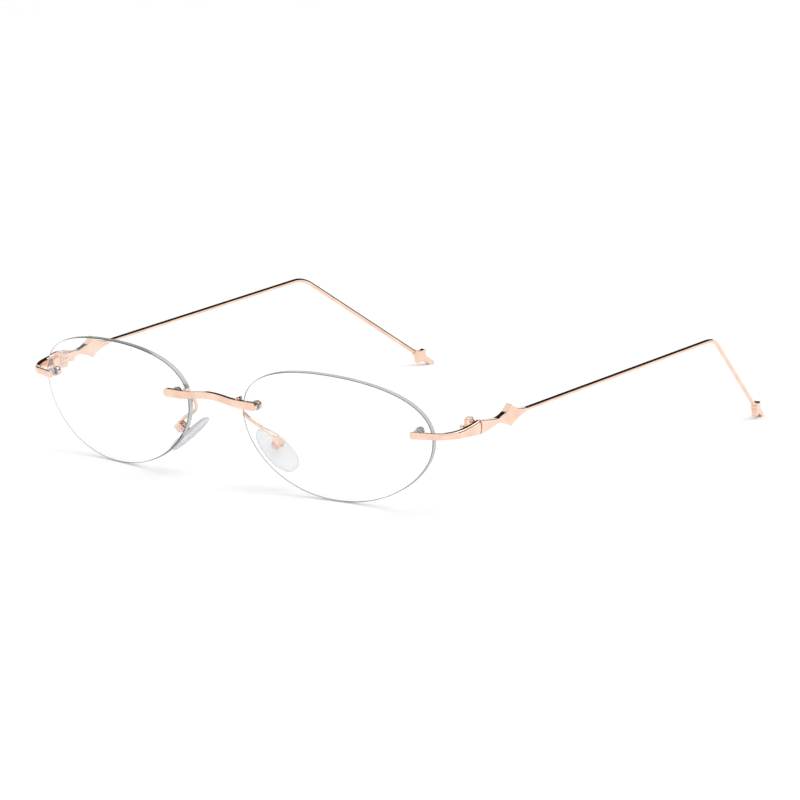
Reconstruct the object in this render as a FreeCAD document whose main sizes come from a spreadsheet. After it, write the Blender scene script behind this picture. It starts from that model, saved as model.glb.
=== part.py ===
"""Rimless eyeglasses with fine wire temples, as a parametric FreeCAD document.

Millimetres. Z is up from the table, X = 0 is the mirror plane, Y points from the lenses to the temple tips.
Each piece of the wearer's left side (+X) is modelled, and the right-hand piece is its mirror image.
"""
import FreeCAD, Part
import math
import os

from FreeCAD import Placement, Rotation, Vector

X_AXIS = Vector(1, 0, 0)
Y_AXIS = Vector(0, 1, 0)
Z_AXIS = Vector(0, 0, 1)
OUTLINE_POINTS = 36

doc = FreeCAD.newDocument("rimless_eyeglasses")
sheet = doc.addObject("Spreadsheet::Sheet", "Sizes")

SIZES = {
    # lens: half sizes, squareness of the oval, how far the widest chord sits above the middle
    "lens_half_width": 27.0,
    "lens_half_height": 15.81,
    "lens_squareness": 2.07,
    "lens_chord_rise": 1.18,
    "lens_end_growth": 0.23,
    "lens_thickness": 1.45,
    "lens_base_radius": 105.0,
    "lens_blank_depth": 20.0,
    "lens_chamfer": 0.18,
    # where the lens sits: centre, outer end down, top forward, outer end back (degrees)
    "lens_centre_x": 35.53,
    "lens_centre_y": -0.95,
    "lens_centre_z": 16.74,
    "lens_droop": 1.84,
    "lens_tilt": 6.87,
    "lens_wrap": 7.04,
    # the two drilled holes, from the lens centre
    "nose_hole_across": -22.8,
    "nose_hole_rise": 3.2,
    "temple_hole_across": 23.7,
    "temple_hole_rise": 3.2,
    "hole_radius": 0.87,
    # hardware stacked on each hole
    "fit_gap": 0.01,
    "stud_radius": 0.5,
    "stud_length": 2.8,
    "collar_radius": 0.7,
    "collar_height": 0.7,
    "bush_radius": 0.86,
    "bush_bore": 0.51,
    "bush_flange_radius": 1.1,
    "bush_flange": 0.5,
    "washer_radius": 1.2,
    "washer_thickness": 0.2,
    "nut_radius": 1.2,
    "nut_skirt": 0.25,
    "nut_bore_depth": 1.0,
    # bridge bar
    "bridge_depth": 1.2,
    "bridge_edge": 0.2,
    "bridge_end_radius": 1.02,
    "bridge_half_span": 13.75,
    "bridge_height": 21.2,
    "bridge_top_rise": 0.78,
    "bridge_top_half_width": 9.5,
    "bridge_under_rise": 1.08,
    "bridge_under_half_width": 11.0,
    "bridge_lean": 5.2,
    "bridge_seat_allowance": 0.17,
    "lug_inner_x": 8.15,
    "lug_width": 0.5,
    "lug_base": 0.15,
    "lug_height": 1.2,
    "lug_reach": 2.0,
    "arm_start_x": 7.6,
    "arm_start_rise": -0.1,
    # end piece
    "endpiece_thickness": 1.5,
    "endpiece_front_thickness": 1.3,
    "endpiece_edge": 0.5,
    "endpiece_sweep": 17.0,
    "endpiece_overhang": 1.6,
    "seat_allowance": 0.12,
    "outer_face_x": 68.3,
    "split_gap": 0.12,
    # hinge
    "hinge_x": 65.3,
    "hinge_y": 15.6,
    "hinge_bottom": 18.3,
    "hinge_height": 3.6,
    "knuckle_radius": 1.3,
    "knuckle_height": 1.2,
    "knuckle_gap": 0.04,
    "hinge_relief": 0.06,
    "pin_radius": 0.65,
    "pin_clearance": 0.04,
    "screw_head_radius": 1.0,
    "screw_head_height": 0.55,
    "screw_slot_width": 0.3,
    "screw_slot_depth": 0.25,
    # temple
    "plate_thickness": 1.7,
    "plate_edge": 0.18,
    "wire_radius": 0.55,
    "wire_x": 67.45,
    "wire_start_y": 34.0,
    "wire_start_z": 21.75,
    "shaft_length": 73.3,
    "shaft_rise": 4.2,
    "bend_radius": 9.0,
    "tail_length": 38.9,
    "tail_drop": 33.8,
    "tail_inward": 18.4,
    "ornament_thickness": 1.7,
    "ornament_length": 6.9,
    "ornament_edge": 0.15,
    # nose pad, its box and its arm
    "pad_length": 14.0,
    "pad_width": 7.0,
    "pad_thickness": 1.8,
    "pad_edge": 0.8,
    "pad_centre_x": 14.2,
    "pad_centre_y": 5.85,
    "pad_centre_z": 9.5,
    "pad_slope": 37.0,
    "pad_turn": 63.0,
    "pad_standoff": 2.6,
    "tab_radius": 0.8,
    "tab_thickness": 1.0,
    "tab_neck_width": 1.2,
    "box_ear": 0.55,
    "box_base": 0.6,
    "box_ear_top": 0.9,
    "box_edge": 0.25,
    "box_floor_gap": 0.1,
    "box_slot_clearance": 0.04,
    "box_half_length": 1.1,
    "pad_pin_radius": 0.4,
    "pad_screw_head_radius": 0.75,
    "pad_screw_head_height": 0.45,
    "arm_radius": 0.42,
}


def fill_sheet():
    for row, (alias, value) in enumerate(SIZES.items(), start=1):
        sheet.set(f"A{row}", alias)
        sheet.set(f"B{row}", str(value))
        sheet.setAlias(f"B{row}", alias)
    doc.recompute()


def size(alias):
    return float(sheet.get(alias))


def bind(thing, **expressions):
    """Drive the named properties of an object from the sheet."""
    for prop, expression in expressions.items():
        thing.setExpression(prop, expression.replace("$", "Sizes."))


# ---------------------------------------------------------------- small builders


def cylinder(name, radius, height, place=Placement()):
    """A cylinder along its own Z whose radius and height follow the sheet."""
    piece = doc.addObject("Part::Cylinder", name)
    bind(piece, Radius=radius, Height=height)
    piece.Placement = place
    return piece


def block(name, low, high):
    """A box between two corners."""
    piece = doc.addObject("Part::Box", name)
    piece.Length, piece.Width, piece.Height = high - low
    piece.Placement = Placement(low, Rotation())
    return piece


def joined(name, *pieces):
    result = doc.addObject("Part::MultiFuse", name)
    result.Shapes = list(pieces)
    result.Refine = True
    return result


def cut(name, base, tool):
    result = doc.addObject("Part::Cut", name)
    result.Base = base
    result.Tool = tool
    return result


def common(name, first, second):
    result = doc.addObject("Part::Common", name)
    result.Base = first
    result.Tool = second
    return result


def rounded(name, base, radius):
    """Fillet every edge of a primitive or boolean."""
    doc.recompute()
    result = doc.addObject("Part::Fillet", name)
    result.Base = base
    result.Edges = [(k, radius, radius) for k in range(1, len(base.Shape.Edges) + 1)]
    return result


def body(name):
    return doc.addObject("PartDesign::Body", name)


def sketch_on(owner, name, role):
    """An empty sketch on one of the body's own origin planes."""
    sketch = owner.newObject("Sketcher::SketchObject", name)
    plane = next(f for f in owner.Origin.OriginFeatures if f.Role == role)
    sketch.AttachmentSupport = (plane, [""])
    sketch.MapMode = "FlatFace"
    return sketch


def draw(sketch, runs):
    """Add a closed chain of lines (two points) and arcs (three points) to a sketch."""
    for run in runs:
        points = [Vector(u, v, 0) for u, v in run]
        if len(points) == 2:
            sketch.addGeometry(Part.LineSegment(*points))
        else:
            sketch.addGeometry(Part.Arc(*points))


def pad(owner, name, sketch, length):
    """A pad of a sketch, half to each side of its plane."""
    feature = owner.newObject("PartDesign::Pad", name)
    feature.Profile = sketch
    feature.Midplane = True
    bind(feature, Length=length)
    sketch.Visibility = False
    return feature


def mirrored(left, name):
    """The wearer's right-hand copy of a left-hand piece."""
    right = doc.addObject("Part::Mirroring", name)
    right.Source = left
    right.Normal = X_AXIS
    right.Base = Vector(0, 0, 0)
    return right


# ---------------------------------------------------------------- places


def lens_place():
    """From the lens frame (front vertex at the origin, front towards -Y) to the row."""
    turn = Rotation(Z_AXIS, size("lens_wrap"))
    turn = turn * Rotation(X_AXIS, size("lens_tilt"))
    turn = turn * Rotation(Y_AXIS, size("lens_droop"))
    centre = Vector(size("lens_centre_x"), size("lens_centre_y"), size("lens_centre_z"))
    return Placement(centre, turn)


def hole_place(site, depth=0.0):
    """A frame on a lens hole's axis: Z points back through the lens, origin at a depth behind its front."""
    across = size(f"{site}_hole_across")
    rise = size(f"{site}_hole_rise")
    radius = size("lens_base_radius")
    sag = radius - math.sqrt(radius**2 - across**2 - rise**2)
    point = Vector(across, sag, rise)
    inward = (Vector(0, radius, 0) - point).normalize()
    local = Placement(point + inward * depth, Rotation(Z_AXIS, inward))
    return lens_place() * local


def pad_place():
    """The nose pad's frame: X down its length, Z towards the nose, origin at the pad's middle."""
    slope = math.radians(size("pad_slope"))
    turn = math.radians(size("pad_turn"))
    along = Vector(math.cos(slope), 0, -math.sin(slope))
    flat = Vector(-math.sin(slope), 0, -math.cos(slope))
    face = Y_AXIS * math.cos(turn) + flat * math.sin(turn)
    centre = Vector(size("pad_centre_x"), size("pad_centre_y"), size("pad_centre_z"))
    return Placement(centre, Rotation(along, face.cross(along), face, "ZXY"))


def box_place():
    """The pad frame moved back to the pad screw's axis, which lies along its Y."""
    return pad_place() * Placement(Vector(0, 0, -size("pad_standoff")), Rotation())


def shaft_direction():
    rise = math.radians(size("shaft_rise"))
    return Vector(0, math.cos(rise), math.sin(rise))


def tail_direction():
    drop = math.radians(size("tail_drop"))
    inward = math.radians(size("tail_inward"))
    level = math.cos(drop)
    return Vector(-level * math.sin(inward), level * math.cos(inward), -math.sin(drop))


def bend_angle():
    return math.degrees(shaft_direction().getAngle(tail_direction()))


def wire_place():
    """The temple wire's frame: X along the shaft, Z across the plane that the wire bends in."""
    clear_of_plate = size("wire_radius") * math.tan(math.radians(size("shaft_rise")))
    start = Vector(size("wire_x"), size("wire_start_y") + clear_of_plate, size("wire_start_z"))
    across = shaft_direction().cross(tail_direction())
    return Placement(start, Rotation(shaft_direction(), Vector(), across, "XZY"))


def tail_end():
    """Where the wire's tail stops and the tip ornament starts."""
    bend = math.radians(bend_angle())
    radius = size("bend_radius")
    length = size("tail_length")
    along = size("shaft_length") + radius * math.sin(bend) + length * math.cos(bend)
    aside = radius * (1 - math.cos(bend)) + length * math.sin(bend)
    return wire_place().multVec(Vector(along, aside, 0))


# ---------------------------------------------------------------- lenses


def outline_point(turn):
    """A point of the lens's oval: a squared ellipse whose widest chord sits above its middle."""
    power = 2 / size("lens_squareness")
    c = math.cos(turn)
    s = math.sin(turn)
    across = size("lens_half_width") * math.copysign(abs(c) ** power, c)
    rise = size("lens_half_height") * math.copysign(abs(s) ** power, s)
    double = math.cos(2 * turn)
    across += size("lens_end_growth") * double
    rise += size("lens_chord_rise") * double
    return Vector(across, rise, 0)


def lens_ball(name, radius):
    """A ball about the lens's centre of curvature."""
    ball = doc.addObject("Part::Sphere", name)
    bind(ball, Radius=radius)
    ball.Placement = lens_place() * Placement(Vector(0, size("lens_base_radius"), 0), Rotation())
    return ball


def lens_blank(name):
    """A straight-sided block with the lens's oval outline."""
    blank = body(name + "_blank")
    outline = sketch_on(blank, "EdgeOutline", "XZ_Plane")
    step = 2 * math.pi / OUTLINE_POINTS
    oval = Part.BSplineCurve()
    oval.interpolate([outline_point(k * step) for k in range(OUTLINE_POINTS)], PeriodicFlag=True)
    outline.addGeometry(oval)
    pad(blank, "Blank", outline, "$lens_blank_depth")
    blank.Placement = lens_place()
    return blank


def lens(name):
    """One lens: two curved faces ground on the blank, chamfered, then drilled for the two studs."""
    front_ball = lens_ball(name + "_front_ball", "$lens_base_radius")
    back_ball = lens_ball(name + "_back_ball", "$lens_base_radius - $lens_thickness")
    fronted = common(name + "_fronted", lens_blank(name), front_ball)
    ground = cut(name + "_ground", fronted, back_ball)
    doc.recompute()
    chamfered = doc.addObject("Part::Chamfer", name + "_chamfered")
    chamfered.Base = ground
    width = size("lens_chamfer")
    rims = [k for k, edge in enumerate(ground.Shape.Edges, start=1) if edge.Length > size("lens_half_width")]
    chamfered.Edges = [(k, width, width) for k in rims]
    drills = [
        cylinder(f"{name}_{site}_drill", "$hole_radius", "2 * $lens_thickness + 2", hole_place(site, -2))
        for site in ("nose", "temple")
    ]
    return cut(name, chamfered, joined(name + "_drills", *drills))


# ---------------------------------------------------------------- hardware on the lens holes


def stud(site):
    """The post soldered to a bar: a collar sunk in the bar, and a threaded shank through the lens."""
    seat = -size("bush_flange") - 2 * size("fit_gap")
    collar = cylinder(f"{site}_collar", "$collar_radius", "$collar_height",
                      hole_place(site, seat - size("collar_height")))
    shank = cylinder(f"{site}_shank", "$stud_radius", "$stud_length", hole_place(site, seat))
    return joined(f"{site}_stud", collar, shank)


def bush(site):
    """The clear top-hat bush: a flange in front of the lens and a sleeve in the hole."""
    front = -size("bush_flange") - size("fit_gap")
    flange = cylinder(f"{site}_flange", "$bush_flange_radius", "$bush_flange", hole_place(site, front))
    sleeve = cylinder(f"{site}_sleeve", "$bush_radius", "$bush_flange + $lens_thickness",
                      hole_place(site, front))
    bore = cylinder(f"{site}_bush_bore", "$bush_bore", "2 * $lens_thickness + 2", hole_place(site, -2))
    return cut(f"{site}_bush", joined(f"{site}_top_hat", flange, sleeve), bore)


def washer(site):
    """The clear washer behind the lens."""
    back = size("lens_thickness") + size("fit_gap")
    disc = cylinder(f"{site}_disc", "$washer_radius", "$washer_thickness", hole_place(site, back))
    bore = cylinder(f"{site}_washer_bore", "$bush_bore", "2 * $lens_thickness + 2", hole_place(site, -1))
    return cut(f"{site}_washer", disc, bore)


def dome_nut(site):
    """A cap nut: a short skirt and a hemisphere, bored blind from the lens side."""
    seat = size("lens_thickness") + size("washer_thickness") + 2 * size("fit_gap")
    skirt = cylinder(f"{site}_skirt", "$nut_radius", "$nut_skirt", hole_place(site, seat))
    dome = doc.addObject("Part::Sphere", f"{site}_dome")
    bind(dome, Radius="$nut_radius")
    dome.Angle1 = 0
    dome.Placement = hole_place(site, seat + size("nut_skirt"))
    bore = cylinder(f"{site}_nut_bore", "$bush_bore", "$nut_bore_depth", hole_place(site, seat))
    return cut(f"{site}_nut", joined(f"{site}_cap", skirt, dome), bore)


# ---------------------------------------------------------------- bridge


def flange_front(site):
    """The middle of a bush flange's front, which the bar lies against."""
    return hole_place(site, -size("bush_flange") - 2 * size("fit_gap")).Base


def bridge_place():
    """The bar leans like the lenses, with its rear face on the bush flanges."""
    lean = math.radians(size("bridge_lean"))
    seat = flange_front("nose")
    back = size("bridge_depth") / 2 + size("bridge_seat_allowance")
    y = seat.y + ((seat.z - size("bridge_height")) * math.sin(lean) - back) / math.cos(lean)
    return Placement(Vector(0, y, size("bridge_height")), Rotation(X_AXIS, size("bridge_lean")))


def arch(level, rise, wide):
    """One long edge of the bar from -X to +X: level at the ends, with a smooth arch over the nose."""
    span = size("bridge_half_span")
    shoulder = [(wide, level), (0.75 * wide, level + rise / 8), (wide / 2, level + rise / 2)]
    opposite = [(-x, z) for x, z in shoulder]
    return [
        [(-span, level), opposite[0]],
        opposite,
        [opposite[2], (0, level + rise), shoulder[2]],
        shoulder[::-1],
        [shoulder[0], (span, level)],
    ]


def bridge_profile(owner):
    """Front view: rounded ends, an arched top, and an underside that arches more."""
    span = size("bridge_half_span")
    end = size("bridge_end_radius")
    front = sketch_on(owner, "FrontView", "XZ_Plane")
    draw(front, [
        *arch(end, size("bridge_top_rise"), size("bridge_top_half_width")),
        [(span, end), (span + end, 0), (span, -end)],
        *arch(-end, size("bridge_under_rise"), size("bridge_under_half_width")),
        [(-span, -end), (-span - end, 0), (-span, end)],
    ])
    return front


def bridge(studs):
    bar = body("bridge_bar")
    solid = pad(bar, "Bar", bridge_profile(bar), "$bridge_depth")
    round_edges(bar, solid, "$bridge_edge")
    bar.Placement = bridge_place()
    inner = size("lug_inner_x")
    lugs = [lug("left_lug", inner), lug("right_lug", -inner - size("lug_width"))]
    return cut("bridge", joined("bridge_with_lugs", bar, *lugs), joined("bridge_seats", *studs))


def lug(name, low_x):
    """The small stop behind the bar that bears on the lens's edge and keeps it from turning."""
    low = Vector(low_x, 0, size("lug_base"))
    high = low + Vector(size("lug_width"), size("lug_reach"), size("lug_height"))
    return moved(block(name, low, high), bridge_place())


def moved(piece, place):
    """Put a piece that was built in a local frame where that frame sits."""
    piece.Placement = place * piece.Placement
    return piece


def round_edges(owner, feature, radius, least=0):
    """Fillet a body feature's edges that are at least this long."""
    doc.recompute()
    edges = [f"Edge{k}" for k, edge in enumerate(feature.Shape.Edges, start=1) if edge.Length >= least]
    rounding = owner.newObject("PartDesign::Fillet", "RoundedEdges")
    rounding.Base = (feature, edges)
    bind(rounding, Radius=radius)


# ---------------------------------------------------------------- end piece and hinge


def endpiece(stud_piece):
    """The bar along the lens front that wraps back to the hinge: its plan crossed with its side view."""
    outer = size("outer_face_x")
    inner = outer - size("endpiece_thickness")
    thick = size("endpiece_front_thickness")
    sweep = math.radians(size("endpiece_sweep"))
    seat = flange_front("temple")

    def swept(along, depth):
        """A point of the front run, from the seat on the bush flange."""
        forward = size("seat_allowance") + depth
        return (seat.x + along * math.cos(sweep) + forward * math.sin(sweep),
                seat.y + along * math.sin(sweep) - forward * math.cos(sweep))

    over = -size("endpiece_overhang")
    plan_body = body("endpiece_plan_body")
    plan = sketch_on(plan_body, "Plan", "XY_Plane")
    draw(plan, [
        [swept(over, thick), swept(4.5, thick)],
        [swept(4.5, thick), (66.9, 6.55), (outer, 11.0)],
        [(outer, 11.0), (outer, 18.0)],
        [(outer, 18.0), (inner, 18.0)],
        [(inner, 18.0), (inner, 11.0)],
        [(inner, 11.0), (65.5, 7.3), swept(4.2, 0)],
        [swept(4.2, 0), swept(over, 0)],
        [swept(over, 0), swept(over, thick)],
    ])
    pad(plan_body, "PlanPad", plan, "60")
    side_body = body("endpiece_side_body")
    side = sketch_on(side_body, "SideView", "YZ_Plane")
    draw(side, [
        [(1.0, 18.0), (7.3, 18.55), (11.2, 18.55)],
        [(11.2, 18.55), (16.0, 18.35)],
        [(16.0, 18.35), (16.7, 20.2), (16.0, 21.95)],
        [(16.0, 21.95), (11.2, 20.9), (6.0, 20.1)],
        [(6.0, 20.1), (1.0, 19.9)],
        [(1.0, 19.9), (1.0, 18.0)],
    ])
    pad(side_body, "SidePad", side, "160")
    bar = common("endpiece_bar", plan_body, side_body)
    return cut("endpiece", rounded("endpiece_rounded", bar, size("endpiece_edge")), stud_piece)


def hinge_place(rise=0.0):
    return Placement(Vector(size("hinge_x"), size("hinge_y"), size("hinge_bottom") + rise), Rotation())


def front_hinge():
    """The fixed half: a leaf soldered inside the end piece, with the top and bottom knuckles."""
    low = size("hinge_bottom")
    inner = size("outer_face_x") - size("endpiece_thickness")
    barrel = cylinder("fixed_barrel", "$knuckle_radius", "$hinge_height", hinge_place())
    x = size("hinge_x")
    y = size("hinge_y")
    leaf = block("fixed_leaf", Vector(x - 0.4, y - 3.2, low + 0.4), Vector(inner, y, low + 2.6))
    foot = block("fixed_foot", Vector(x, y - 1.0, low), Vector(inner, y, low + 3.5))
    slot = cylinder("knuckle_slot", "$knuckle_radius + $hinge_relief",
                    "$hinge_height - 2 * $knuckle_height", hinge_place(size("knuckle_height")))
    bore = cylinder("fixed_bore", "$pin_radius + $pin_clearance", "$hinge_height", hinge_place())
    solid = joined("fixed_half", barrel, leaf, foot)
    return cut("hinge_front", solid, joined("fixed_removed", slot, bore))


def temple_hinge():
    """The moving half: one knuckle between the other two, and a leaf soldered inside the temple front."""
    rise = size("knuckle_height") + size("knuckle_gap")
    tall = size("hinge_height") - 2 * rise
    low = size("hinge_bottom") + rise
    inner = size("outer_face_x") - size("plate_thickness")
    x = size("hinge_x")
    y = size("hinge_y")
    barrel = cylinder("moving_barrel", "$knuckle_radius",
                      "$hinge_height - 2 * $knuckle_height - 2 * $knuckle_gap", hinge_place(rise))
    neck = block("moving_neck", Vector(x + 0.3, y, low), Vector(inner, y + 2.0, low + tall))
    leaf = block("moving_leaf", Vector(x + 0.5, y + 1.6, low - 0.44), Vector(inner, y + 4.8, low + 1.76))
    bore = cylinder("moving_bore", "$pin_radius + $pin_clearance", "$hinge_height", hinge_place())
    return cut("hinge_temple", joined("moving_half", barrel, neck, leaf), bore)


def hinge_screw():
    shank = cylinder("screw_shank", "$pin_radius", "$hinge_height", hinge_place())
    above = hinge_place(size("hinge_height"))
    head = cylinder("screw_head", "$screw_head_radius", "$screw_head_height", above)
    top = size("hinge_bottom") + size("hinge_height") + size("screw_head_height")
    half = size("screw_slot_width") / 2
    middle = Vector(size("hinge_x"), size("hinge_y"), top)
    floor = middle - Vector(2, half, size("screw_slot_depth"))
    slot = block("screw_slot", floor, middle + Vector(2, half, 1))
    return cut("hinge_screw", joined("screw_blank", shank, head), slot)


# ---------------------------------------------------------------- temple


def temple_front():
    """The flat plate behind the hinge that narrows and then flares into a four-pointed star."""
    plate = body("temple_front")
    side = sketch_on(plate, "SideView", "YZ_Plane")
    gap = size("split_gap")
    end = size("wire_start_y")
    low = size("wire_start_z") - size("wire_radius")
    high = size("wire_start_z") + size("wire_radius")
    draw(side, [
        [(16.0 + gap, 22.0), (19.0, 21.6), (21.5, 21.4)],
        [(21.5, 21.4), (25.2, 21.95), (27.8, 24.1)],
        [(27.8, 24.1), (30.2, 22.75), (end, high)],
        [(end, high), (end, low)],
        [(end, low), (30.7, 20.3), (28.1, 18.6)],
        [(28.1, 18.6), (25.7, 19.6), (23.0, 20.15)],
        [(23.0, 20.15), (19.4, 19.15), (16.0 + gap, 18.35)],
        [(16.0 + gap, 18.35), (16.7 + gap, 20.2), (16.0 + gap, 22.0)],
    ])
    flat = pad(plate, "Plate", side, "$plate_thickness")
    round_edges(plate, flat, "$plate_edge")
    plate.Placement.Base = Vector(size("outer_face_x") - size("plate_thickness") / 2, 0, 0)
    return plate


def temple_wire():
    """One round wire: the straight shaft, the bend over the ear and the tail."""
    place = wire_place()
    bend = bend_angle()
    radius = size("bend_radius")
    forwards = Placement(Vector(), Rotation(Y_AXIS, 90))
    shaft = cylinder("wire_shaft", "$wire_radius", "$shaft_length", place * forwards)
    turn = doc.addObject("Part::Torus", "wire_bend")
    bind(turn, Radius1="$bend_radius", Radius2="$wire_radius")
    turn.Angle3 = bend
    middle = Vector(size("shaft_length"), radius, 0)
    turn.Placement = place * Placement(middle, Rotation(Z_AXIS, -90))
    reach = math.radians(bend)
    tail_start = middle + Vector(radius * math.sin(reach), -radius * math.cos(reach), 0)
    tail_turn = Rotation(Z_AXIS, bend) * Rotation(Y_AXIS, 90)
    tail = cylinder("wire_tail", "$wire_radius", "$tail_length", place * Placement(tail_start, tail_turn))
    return joined("temple_wire", shaft, turn, tail)


def ornament_place():
    """The tip ornament's frame: X down the tail, Z level and facing outwards."""
    face = tail_direction().cross(Z_AXIS).normalize()
    return Placement(tail_end(), Rotation(tail_direction(), Vector(), face, "XZY"))


def tip_ornament():
    """The small star weight: two side points, and a square-cut prong that stands on the table."""
    star = body("tip_star")
    outline = sketch_on(star, "Outline", "XY_Plane")
    end = size("ornament_length")
    draw(outline, [
        [(0, 0.7), (1.3, 1.15), (2.1, 2.1)],
        [(2.1, 2.1), (2.6, 2.1)],
        [(2.6, 2.1), (3.2, 1.15), (4.4, 0.75)],
        [(4.4, 0.75), (end, 0.7)],
        [(end, 0.7), (end, -0.7)],
        [(end, -0.7), (4.4, -0.75)],
        [(4.4, -0.75), (3.2, -1.15), (2.6, -2.1)],
        [(2.6, -2.1), (2.1, -2.1)],
        [(2.1, -2.1), (1.3, -1.15), (0, -0.7)],
        [(0, -0.7), (0, 0.7)],
    ])
    flat = pad(star, "Star", outline, "$ornament_thickness")
    round_edges(star, flat, "$ornament_edge")
    star.Placement = ornament_place()
    table = block("table", Vector(20, 120, -5), Vector(90, 180, 0))
    return cut("tip_ornament", star, table)


# ---------------------------------------------------------------- nose pad, box and arm


def nose_pad():
    """The soft oval pad, with its edge rounded."""
    oval = body("pad_oval")
    outline = sketch_on(oval, "Outline", "XY_Plane")
    half = size("pad_length") / 2
    outline.addGeometry(Part.Ellipse(Vector(0, 0, 0), half, size("pad_width") / 2))
    slab = pad(oval, "Slab", outline, "$pad_thickness")
    round_edges(oval, slab, "$pad_edge", 5)
    oval.Placement = pad_place()
    return oval


def pad_insert():
    """The metal tab that stands on the pad's back, with an eye for the pad screw."""
    place = box_place()
    half = size("tab_thickness") / 2
    across = Placement(Vector(0, half, 0), Rotation(X_AXIS, 90))
    eye = cylinder("insert_eye", "$tab_radius", "$tab_thickness", place * across)
    reach = size("pad_standoff") - size("pad_thickness") / 2
    neck_half = size("tab_neck_width") / 2
    neck = moved(block("insert_neck", Vector(-neck_half, -half, 0), Vector(neck_half, half, reach)), place)
    hole = cylinder("insert_hole", "$pad_pin_radius + $pin_clearance", "3 * $tab_thickness",
                    place * Placement(Vector(0, 3 * half, 0), Rotation(X_AXIS, 90)))
    return cut("pad_insert", joined("insert_solid", eye, neck), hole)


def box_half_width():
    return size("tab_thickness") / 2 + size("box_slot_clearance") + size("box_ear")


def box_floor():
    """The height of the cup's inner floor, just clear of the tab's eye."""
    return -size("tab_radius") - size("box_floor_gap")


def pad_box():
    """The cup at the end of the arm: a base and two ears that hold the pad screw."""
    place = box_place()
    wide = box_half_width()
    slot = wide - size("box_ear")
    long = size("box_half_length")
    floor = box_floor()
    top = size("box_ear_top")
    outer = block("box_outer", Vector(-long, -wide, floor - size("box_base")), Vector(long, wide, top))
    inner = block("box_inner", Vector(-2 * long, -slot, floor), Vector(2 * long, slot, 2 * top))
    rounded_outer = rounded("box_rounded", moved(outer, place), size("box_edge"))
    inner = moved(inner, place)
    hole = cylinder("box_hole", "$pad_pin_radius + $pin_clearance", "4",
                    place * Placement(Vector(0, 2, 0), Rotation(X_AXIS, 90)))
    return cut("pad_box", rounded_outer, joined("box_removed", inner, hole))


def pad_screw():
    place = box_place()
    wide = box_half_width()
    gap = size("fit_gap")
    start = Placement(Vector(0, wide + gap, 0), Rotation(X_AXIS, 90))
    shank = cylinder("pad_screw_shank", "$pad_pin_radius", "2.3", place * start)
    rise = Placement(Vector(0, wide + gap + size("pad_screw_head_height"), 0), Rotation(X_AXIS, 90))
    head = cylinder("pad_screw_head", "$pad_screw_head_radius", "$pad_screw_head_height", place * rise)
    return joined("pad_screw", shank, head)


def pad_arm(bar, box):
    """The fine wire from the back of the bridge, round the lens's edge and down to the pad box."""
    seat = Vector(size("arm_start_x"), size("bridge_depth") / 2, size("arm_start_rise"))
    start = bridge_place().multVec(seat)
    end = box_place().multVec(Vector(-size("box_half_length"), 0, box_floor() - size("box_base") / 2))
    beside_lens = [Vector(7.62, -1.3, 20.75), Vector(7.7, -0.3, 20.0), Vector(7.95, 0.9, 18.6)]
    behind_lens = [Vector(9.0, 2.0, 17.0), Vector(12.1, 3.1, 14.9)]
    path = Part.BSplineCurve()
    path.interpolate([start, *beside_lens, *behind_lens, end])
    section = Part.makeCircle(size("arm_radius"), start, path.tangent(path.FirstParameter)[0])
    wire = doc.addObject("Part::Feature", "pad_arm_wire")
    wire.Shape = Part.Wire(path.toShape()).makePipeShell([Part.Wire(section)], True, True)
    return cut("pad_arm", wire, joined("pad_arm_joints", bar, box))


# ---------------------------------------------------------------- assembly


def label_pair(left, name):
    """Name a piece and its mirror image, and list both for writing."""
    left.Label = name + "_left"
    right = mirrored(left, name + "_right")
    right.Label = name + "_right"
    return [left, right]


def build():
    studs = {site: stud(site) for site in ("nose", "temple")}
    pieces = label_pair(lens("lens"), "lens")
    for site in ("nose", "temple"):
        pieces += label_pair(studs[site], f"{site}_stud")
        pieces += label_pair(bush(site), f"{site}_bush")
        pieces += label_pair(washer(site), f"{site}_washer")
        pieces += label_pair(dome_nut(site), f"{site}_nut")
    nose_right = next(piece for piece in pieces if piece.Label == "nose_stud_right")
    bar = bridge([studs["nose"], nose_right])
    pieces.append(bar)
    pieces += label_pair(endpiece(studs["temple"]), "endpiece")
    for make, name in (
        (front_hinge, "hinge_front"),
        (temple_hinge, "hinge_temple"),
        (hinge_screw, "hinge_screw"),
        (temple_front, "temple_front"),
        (temple_wire, "temple_wire"),
        (tip_ornament, "tip_ornament"),
        (nose_pad, "nose_pad"),
        (pad_insert, "pad_insert"),
        (pad_screw, "pad_screw"),
    ):
        pieces += label_pair(make(), name)
    box = pad_box()
    pieces += label_pair(box, "pad_box")
    pieces += label_pair(pad_arm(bar, box), "pad_arm")
    doc.recompute()
    return pieces


def check(pieces):
    """Stop before writing anything if an object failed or a piece isn't one good solid."""
    for thing in doc.Objects:
        if {"Invalid", "Error"} & set(thing.State):
            raise RuntimeError(f"{thing.Name} failed: {thing.State}")
    for piece in pieces:
        shape = piece.Shape
        if shape.isNull() or not shape.isValid() or len(shape.Solids) != 1:
            raise RuntimeError(f"{piece.Label} isn't one valid solid")


def write(pieces):
    os.makedirs("parts", exist_ok=True)
    for piece in pieces:
        piece.Shape.exportStep(f"parts/{piece.Label}.step")


fill_sheet()
parts = build()
check(parts)
write(parts)
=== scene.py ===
"""Looks for the rimless eyeglasses: rose-gold metal, glass-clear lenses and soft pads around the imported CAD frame.

Metres, in the row's frame: Z is up from the table, X = 0 is the mirror plane, Y points to the temple tips.
"""
import math

import bmesh
import bpy
import numpy as np
from mathutils import Matrix, Vector


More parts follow.
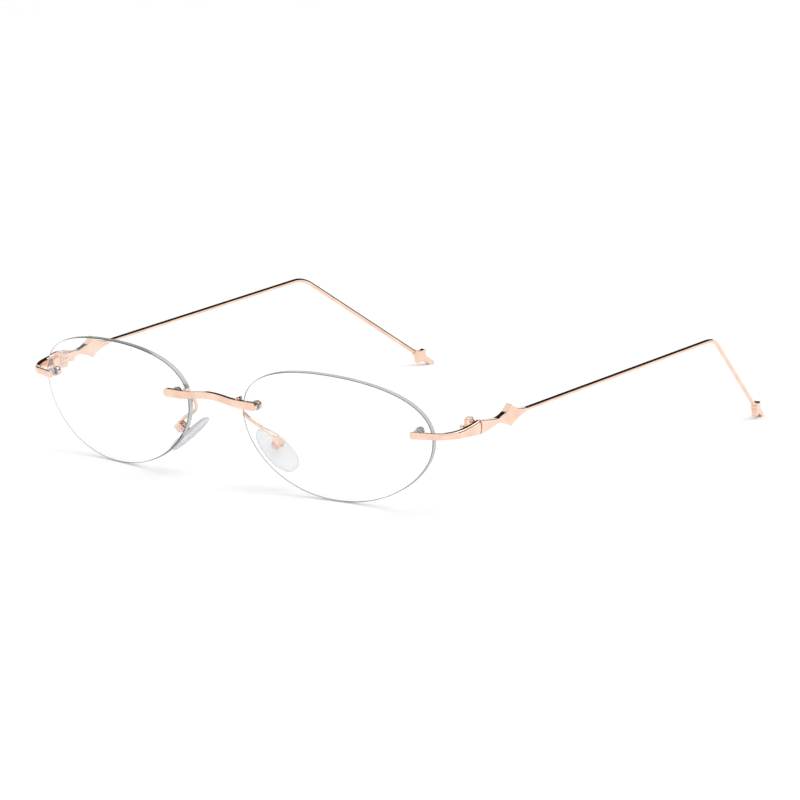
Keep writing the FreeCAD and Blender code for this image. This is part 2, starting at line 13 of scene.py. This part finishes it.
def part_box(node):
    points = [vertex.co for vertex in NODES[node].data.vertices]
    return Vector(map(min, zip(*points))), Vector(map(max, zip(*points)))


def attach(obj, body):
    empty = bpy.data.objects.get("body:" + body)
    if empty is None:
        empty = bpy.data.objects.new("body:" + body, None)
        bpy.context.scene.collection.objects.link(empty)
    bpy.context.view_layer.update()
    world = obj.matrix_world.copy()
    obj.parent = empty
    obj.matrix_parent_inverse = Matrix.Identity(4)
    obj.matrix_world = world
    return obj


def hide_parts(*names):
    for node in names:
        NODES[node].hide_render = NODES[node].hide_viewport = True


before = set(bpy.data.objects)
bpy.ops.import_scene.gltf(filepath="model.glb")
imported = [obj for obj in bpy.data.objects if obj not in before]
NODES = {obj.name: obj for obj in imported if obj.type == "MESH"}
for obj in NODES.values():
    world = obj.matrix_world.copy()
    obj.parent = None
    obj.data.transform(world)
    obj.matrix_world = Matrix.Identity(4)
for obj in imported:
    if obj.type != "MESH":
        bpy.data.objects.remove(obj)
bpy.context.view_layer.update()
MM = 0.001
SIDES = ("left", "right")


# ---------------------------------------------------------------- material helpers


def rgb(red, green, blue):
    return (red, green, blue, 1.0)


class Shader:
    """A small builder for one node material around a Principled surface."""

    def __init__(self, name):
        self.material = bpy.data.materials.new(name)
        self.material.use_nodes = True
        self.tree = self.material.node_tree
        self.tree.nodes.clear()
        self.output = self.add("ShaderNodeOutputMaterial")
        self.surface = self.add("ShaderNodeBsdfPrincipled")
        self.show(self.surface.outputs[0])
        self.place = self.add("ShaderNodeTexCoord").outputs["Object"]

    def add(self, kind, **settings):
        """A node, with each setting given to the input of that name, or else to the node itself."""
        node = self.tree.nodes.new(kind)
        for key, value in settings.items():
            if key in node.inputs:
                node.inputs[key].default_value = value
            else:
                setattr(node, key, value)
        return node

    def link(self, start, end):
        self.tree.links.new(start, end)

    def show(self, shader):
        self.link(shader, self.output.inputs["Surface"])

    def set(self, **values):
        for key, value in values.items():
            self.surface.inputs[key.replace("_", " ")].default_value = value

    def drive(self, socket, source):
        self.link(source, self.surface.inputs[socket])

    def noise(self, scale, detail=3.0, stretch=(1, 1, 1)):
        mapping = self.add("ShaderNodeMapping", Scale=stretch)
        self.link(self.place, mapping.inputs["Vector"])
        texture = self.add("ShaderNodeTexNoise", Scale=scale, Detail=detail)
        self.link(mapping.outputs[0], texture.inputs["Vector"])
        return texture.outputs["Fac"]

    def ramp(self, source, *stops):
        """A colour ramp through (place, colour) stops, given from low to high."""
        node = self.add("ShaderNodeValToRGB")
        elements = node.color_ramp.elements
        while len(elements) < len(stops):
            elements.new(0.5)
        for element, (place, colour) in zip(elements, stops):
            element.position = place
            element.color = colour
        self.link(source, node.inputs["Fac"])
        return node.outputs["Color"]

    def range(self, source, low, high, start=0.0, end=1.0):
        node = self.add("ShaderNodeMapRange")
        node.inputs["From Min"].default_value = start
        node.inputs["From Max"].default_value = end
        node.inputs["To Min"].default_value = low
        node.inputs["To Max"].default_value = high
        self.link(source, node.inputs["Value"])
        return node.outputs["Result"]

    def math(self, operation, first, second):
        node = self.add("ShaderNodeMath", operation=operation)
        for socket, value in zip(node.inputs, (first, second)):
            if isinstance(value, (int, float)):
                socket.default_value = value
            else:
                self.link(value, socket)
        return node.outputs[0]

    def bump(self, source, strength, distance):
        node = self.add("ShaderNodeBump", Strength=strength, Distance=distance)
        self.link(source, node.inputs["Height"])
        self.drive("Normal", node.outputs["Normal"])

    def mix(self, factor, first, second):
        node = self.add("ShaderNodeMixShader")
        self.link(factor, node.inputs["Fac"])
        self.link(first, node.inputs[1])
        self.link(second, node.inputs[2])
        return node.outputs[0]

    def see_through_for_light(self):
        """Let shadow and diffuse rays pass, so that a clear piece doesn't darken what lies behind it."""
        path = self.add("ShaderNodeLightPath").outputs
        passing = self.math("MAXIMUM", path["Is Shadow Ray"], path["Is Diffuse Ray"])
        clear = self.add("ShaderNodeBsdfTransparent", Color=rgb(0.94, 0.95, 0.95))
        self.show(self.mix(passing, self.surface.outputs[0], clear.outputs[0]))


def rose_gold(name, warm, pale, roughness, scratch_scale, stretch=(1, 1, 1)):
    """Plated metal: slow colour drift, fine wipe marks in the roughness and a faint polish ripple."""
    shader = Shader(name)
    shader.set(Metallic=1.0)
    drift = shader.noise(220.0, 2.0)
    shader.drive("Base Color", shader.ramp(drift, (0.35, warm), (0.65, pale)))
    marks = shader.noise(scratch_scale, 6.0, stretch)
    shader.drive("Roughness", shader.range(marks, roughness * 0.6, roughness * 1.5))
    shader.bump(marks, 0.05, 0.02 * MM)
    return shader.material


def lens_face():
    """The polished optical surfaces: clear, with the faintest smear in the gloss."""
    shader = Shader("lens_clear")
    shader.set(Transmission_Weight=1.0, IOR=1.5)
    smear = shader.noise(60.0, 2.0)
    shader.drive("Base Color", shader.ramp(smear, (0.3, rgb(0.985, 0.995, 0.99)), (0.7, rgb(1, 1, 1))))
    shader.drive("Roughness", shader.range(smear, 0.0, 0.015, 0.4, 0.8))
    shader.see_through_for_light()
    return shader.material


def lens_edge():
    """The ground edge: frosted grey-green outside, and almost clear when it is seen through the lens."""
    shader = Shader("lens_ground_edge")
    grind = shader.noise(500.0, 4.0, (1, 3, 1))
    shader.drive("Base Color", shader.ramp(grind, (0.3, rgb(0.33, 0.36, 0.34)), (0.7, rgb(0.46, 0.49, 0.47))))
    shader.drive("Roughness", shader.range(grind, 0.3, 0.55))
    shader.bump(grind, 0.12, 0.03 * MM)
    backfacing = shader.add("ShaderNodeNewGeometry").outputs["Backfacing"]
    shader.drive("Alpha", shader.range(backfacing, 0.75, 0.12))
    return shader.material


def lens_chamfer():
    """The thin safety chamfer round each face, its colour a painted dark reflection of the room."""
    shader = Shader("lens_chamfer")
    grind = shader.noise(900.0, 3.0)
    # Near-black base colour: a painted reflection of the dark room, with a slight random grind variation.
    shader.drive("Base Color", shader.ramp(grind, (0.3, rgb(0.05, 0.06, 0.06)), (0.7, rgb(0.12, 0.13, 0.13))))
    shader.drive("Roughness", shader.range(grind, 0.2, 0.4))
    shader.set(Alpha=0.8)
    return shader.material


def clear_plastic():
    """The moulded bushes and washers: clear with a pale body."""
    shader = Shader("clear_moulded_plastic")
    flow = shader.noise(700.0, 2.0)
    shader.drive("Base Color", shader.ramp(flow, (0.3, rgb(0.66, 0.69, 0.68)), (0.7, rgb(0.80, 0.82, 0.82))))
    shader.drive("Roughness", shader.range(flow, 0.08, 0.2))
    shader.set(Alpha=0.5)
    return shader.material


def silicone():
    """Soft clear silicone: thin and cloudy across the middle, denser where it is seen edge on, with a painted grey
    shade along that rim.
    """
    shader = Shader("pad_silicone")
    cloud = shader.noise(320.0, 4.0)
    rim = shader.add("ShaderNodeLayerWeight", Blend=0.4).outputs["Facing"]
    edge_on_depth_and_painted_shade = shader.math("ADD", rim, shader.range(cloud, -0.08, 0.08))
    # The base colour darkens from pale to grey where the pad is seen edge on: painted shade along the rim, not the
    # silicone's own colour.
    shader.drive("Base Color", shader.ramp(
        edge_on_depth_and_painted_shade,
        (0.15, rgb(0.84, 0.85, 0.87)),
        (0.55, rgb(0.70, 0.70, 0.79)),
        (0.82, rgb(0.32, 0.32, 0.36)),
    ))
    shader.drive("Alpha", shader.range(edge_on_depth_and_painted_shade, 0.42, 0.9, 0.2, 0.85))
    shader.drive("Roughness", shader.range(cloud, 0.12, 0.3))
    shader.bump(cloud, 0.1, 0.05 * MM)
    return shader.material


def white_floor():
    shader = Shader("studio_floor")
    grain = shader.noise(40.0, 3.0)
    shader.drive("Base Color", shader.ramp(grain, (0.3, rgb(0.92, 0.92, 0.92)), (0.7, rgb(0.94, 0.94, 0.94))))
    shader.set(Roughness=0.9, Specular_IOR_Level=0.0)
    return shader.material


WARM = rgb(0.86, 0.59, 0.46)
PALE = rgb(0.95, 0.70, 0.57)
METAL = rose_gold("rose_gold_polished", WARM, PALE, 0.07, 1500.0, (1, 1, 4))
WIRE_METAL = rose_gold("rose_gold_drawn_wire", WARM, PALE, 0.08, 1800.0, (4, 0.4, 4))
FASTENER = rose_gold("rose_gold_turned", rgb(0.80, 0.58, 0.49), rgb(0.88, 0.70, 0.62), 0.06, 2500.0)
LENS_MATERIALS = (lens_face(), lens_edge(), lens_chamfer())
CLEAR = clear_plastic()
SILICONE = silicone()


# ---------------------------------------------------------------- CAD pieces

METAL_NODES = ("endpiece", "hinge_front", "hinge_temple", "temple_front", "tip_ornament", "pad_box", "pad_insert")
FASTENER_NODES = ("nose_stud", "temple_stud", "nose_nut", "temple_nut", "hinge_screw", "pad_screw")
WIRE_NODES = ("temple_wire", "pad_arm")
CLEAR_NODES = ("nose_bush", "temple_bush", "nose_washer", "temple_washer")
SHARP_NODES = ("hinge_front", "hinge_temple", "hinge_screw", "pad_box", "pad_insert", "pad_screw")
BROKEN_EDGE = 0.07 * MM


def dress(node, *materials):
    mesh = NODES[node].data
    mesh.materials.clear()
    for material in materials:
        mesh.materials.append(material)


def break_edges(node, width, segments):
    """Join the export's split vertices and take the knife edge off the corners."""
    piece = NODES[node]
    weld = piece.modifiers.new("weld", "WELD")
    weld.merge_threshold = 0.002 * MM
    bevel = piece.modifiers.new("broken_edges", "BEVEL")
    bevel.width = width
    bevel.segments = segments
    bevel.limit_method = "ANGLE"
    bevel.angle_limit = math.radians(40)
    bevel.harden_normals = True


def lens_axis(side):
    """The lens's forward optical direction: the average of its front faces' normals."""
    total = Vector((0, 0, 0))
    for face in NODES[f"lens_{side}"].data.polygons:
        if face.normal.y < -0.7:
            total += face.normal * face.area
    return total.normalized()


def dress_lens(side):
    """By how far a face looks along the axis: optical surface, chamfer, or ground edge and drilled hole."""
    node = NODES[f"lens_{side}"]
    dress(node.name, *LENS_MATERIALS)
    axis = lens_axis(side)
    for face in node.data.polygons:
        along = abs(face.normal.dot(axis))
        face.material_index = 0 if along > 0.9 else 2 if along > 0.4 else 1


dress("bridge", METAL)
for side in SIDES:
    dress_lens(side)
    for names, material in (
        (METAL_NODES, METAL),
        (FASTENER_NODES, FASTENER),
        (WIRE_NODES, WIRE_METAL),
        (CLEAR_NODES, CLEAR),
    ):
        for name in names:
            dress(f"{name}_{side}", material)
    for name in SHARP_NODES:
        break_edges(f"{name}_{side}", BROKEN_EDGE, 2)


# ---------------------------------------------------------------- nose pads

PAD_RINGS = 14
PAD_SPOKES = 72
PAD_SQUARENESS = 2.3
PAD_TAPER = 0.10
PAD_LIP = 0.22
PAD_BACK_DISH = 0.30


def solid_axes(node):
    """A slab-like node's middle, and its long, middle and short axes with their half sizes."""
    points = np.array([vertex.co for vertex in NODES[node].data.vertices])
    middle = (points.max(0) + points.min(0)) / 2
    _, _, axes = np.linalg.svd(points - points.mean(0), full_matrices=False)
    spans = (points - middle) @ axes.T
    middle = middle + (spans.max(0) + spans.min(0)) / 2 @ axes
    halves = (spans.max(0) - spans.min(0)) / 2
    return Vector(middle), [Vector(axis) for axis in axes], halves


def pad_frame(side):
    """The pad's place: X up its length, Z towards the nose and away from its metal tab."""
    middle, (along, _, through), halves = solid_axes(f"nose_pad_{side}")
    low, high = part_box(f"pad_insert_{side}")
    if through.dot((low + high) / 2 - middle) > 0:
        through = -through
    if along.z < 0:
        along = -along
    across = through.cross(along)
    turn = Matrix((along, across, through)).transposed().to_4x4()
    return Matrix.Translation(middle) @ turn, halves


def pad_point(turn, reach, halves):
    """A point of the pad's outline in its own plane, scaled in towards the middle. The upper end is narrower."""
    power = 2 / PAD_SQUARENESS
    c = math.cos(turn)
    s = math.sin(turn)
    x = math.copysign(abs(c) ** power, c)
    y = math.copysign(abs(s) ** power, s) * (1 - PAD_TAPER * x)
    return x * halves[0] * reach, y * halves[1] * reach / (1 + PAD_TAPER)


def pad_surfaces(reach, thickness):
    """Heights of the crowned nose side and the dished back, with a soft lip that thins to the rim."""
    rim = (1 - reach**4) ** 0.5
    front = thickness * (0.15 + 0.85 * rim) if reach < 1 else thickness * 0.1
    lip = math.exp(-((reach - 0.85) / 0.1) ** 2)
    back = -thickness * (0.1 + 0.9 * (1 - reach**8) ** 0.5) * (1 - PAD_BACK_DISH * (1 - reach**2))
    return front, back * (1 - PAD_LIP + PAD_LIP * lip)


def pad_mesh(name, halves):
    """A closed soft pillow: rings of points from the middle out over the front, and back in under the rear."""
    shape = bmesh.new()
    reaches = [math.sin(math.pi / 2 * k / PAD_RINGS) for k in range(1, PAD_RINGS + 1)]
    turns = [2 * math.pi * k / PAD_SPOKES for k in range(PAD_SPOKES)]

    def ring(reach, height):
        return [shape.verts.new((*pad_point(turn, reach, halves), height)) for turn in turns]

    front_pole = shape.verts.new((0, 0, pad_surfaces(0, halves[2])[0]))
    back_pole = shape.verts.new((0, 0, pad_surfaces(0, halves[2])[1]))
    fronts = [ring(reach, pad_surfaces(reach, halves[2])[0]) for reach in reaches]
    backs = [ring(reach, pad_surfaces(reach, halves[2])[1]) for reach in reaches]
    rings = fronts + backs[::-1]
    for near, far in zip(rings, rings[1:]):
        for k in range(PAD_SPOKES):
            after = (k + 1) % PAD_SPOKES
            shape.faces.new((near[k], far[k], far[after], near[after]))
    for k in range(PAD_SPOKES):
        after = (k + 1) % PAD_SPOKES
        shape.faces.new((front_pole, fronts[0][k], fronts[0][after]))
        shape.faces.new((back_pole, backs[0][after], backs[0][k]))
    for face in shape.faces:
        face.smooth = True
    mesh = bpy.data.meshes.new(name)
    shape.to_mesh(mesh)
    shape.free()
    return mesh


def soft_pad(side):
    place, halves = pad_frame(side)
    name = f"nose_pad_soft_{side}"
    pad = bpy.data.objects.new(name, pad_mesh(name, halves))
    bpy.context.scene.collection.objects.link(pad)
    pad.matrix_world = place
    pad.data.materials.append(SILICONE)
    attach(pad, f"pad_{side}")
    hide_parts(f"nose_pad_{side}")


for side in SIDES:
    soft_pad(side)


# ---------------------------------------------------------------- studio


def floor():
    mesh = bpy.data.meshes.new("floor")
    half = 6.0
    mesh.from_pydata([(-half, -half, 0), (half, -half, 0), (half, half, 0), (-half, half, 0)], [], [(0, 1, 2, 3)])
    plane = bpy.data.objects.new("floor", mesh)
    plane.location.z = -0.02 * MM
    bpy.context.scene.collection.objects.link(plane)
    mesh.materials.append(white_floor())


class StudioWorld:
    """White all round for the eye and the light. Polished metal also sees a dark strip low behind the object."""

    def __init__(self):
        studio = bpy.data.worlds.new("studio")
        bpy.context.scene.world = studio
        studio.use_nodes = True
        self.tree = studio.node_tree
        self.tree.nodes.clear()

    def add(self, kind):
        return self.tree.nodes.new(kind)

    def link(self, start, end):
        self.tree.links.new(start, end)

    def step(self, source, low, high, start, end):
        """A smooth step of the source from start at low to end at high."""
        node = self.add("ShaderNodeMapRange")
        node.interpolation_type = "SMOOTHSTEP"
        for name, value in (("From Min", low), ("From Max", high), ("To Min", start), ("To Max", end)):
            node.inputs[name].default_value = value
        self.link(source, node.inputs["Value"])
        return node.outputs["Result"]

    def times(self, first, second):
        node = self.add("ShaderNodeMath")
        node.operation = "MULTIPLY"
        self.link(first, node.inputs[0])
        self.link(second, node.inputs[1])
        return node.outputs[0]

    def background(self, strength):
        node = self.add("ShaderNodeBackground")
        node.inputs["Color"].default_value = rgb(1, 1, 1)
        node.inputs["Strength"].default_value = strength
        return node

    def build(self):
        direction = self.add("ShaderNodeSeparateXYZ")
        self.link(self.add("ShaderNodeTexCoord").outputs["Generated"], direction.inputs[0])
        behind = self.step(direction.outputs["Y"], 0.08, 0.20, 0.0, 1.0)
        above = self.step(direction.outputs["Z"], 0.24, 0.30, 0.0, 1.0)
        below = self.step(direction.outputs["Z"], 0.78, 0.86, 1.0, 0.0)
        strip = self.times(behind, self.times(above, below))
        seen = self.background(0.95)
        self.link(self.step(strip, 0.0, 1.0, 0.97, 0.015), seen.inputs["Strength"])
        mix = self.add("ShaderNodeMixShader")
        self.link(self.add("ShaderNodeLightPath").outputs["Is Glossy Ray"], mix.inputs["Fac"])
        self.link(self.background(1.03).outputs[0], mix.inputs[1])
        self.link(seen.outputs[0], mix.inputs[2])
        self.link(mix.outputs[0], self.add("ShaderNodeOutputWorld").inputs["Surface"])


def area_light(name, place, aim, size, power):
    light = bpy.data.lights.new(name, "AREA")
    light.shape = "DISK"
    light.size = size
    light.energy = power
    lamp = bpy.data.objects.new(name, light)
    bpy.context.scene.collection.objects.link(lamp)
    lamp.location = place
    lamp.rotation_euler = (Vector(aim) - Vector(place)).to_track_quat("-Z", "Y").to_euler()


def camera():
    """The photograph's angle: from the wearer's front left, a little above the lenses, with a long lens."""
    data = bpy.data.cameras.new("camera")
    data.sensor_width = 36.0
    data.lens = 230.75
    data.clip_start = 0.05
    data.clip_end = 50.0
    view = bpy.data.objects.new("camera", data)
    bpy.context.scene.collection.objects.link(view)
    view.location = (0.8049, -0.9110, 0.2685)
    forward = Vector((-0.6218, 0.7573, -0.2000))
    view.rotation_euler = forward.to_track_quat("-Z", "Y").to_euler()
    bpy.context.scene.camera = view


floor()
StudioWorld().build()
area_light("key", (0.35, 0.45, 0.9), (0, 0.06, 0), 0.5, 1.6)
area_light("front_fill", (0.2, -0.9, 0.5), (0, 0.05, 0), 0.8, 0.5)
camera()
bpy.context.scene.view_settings.view_transform = "Standard"
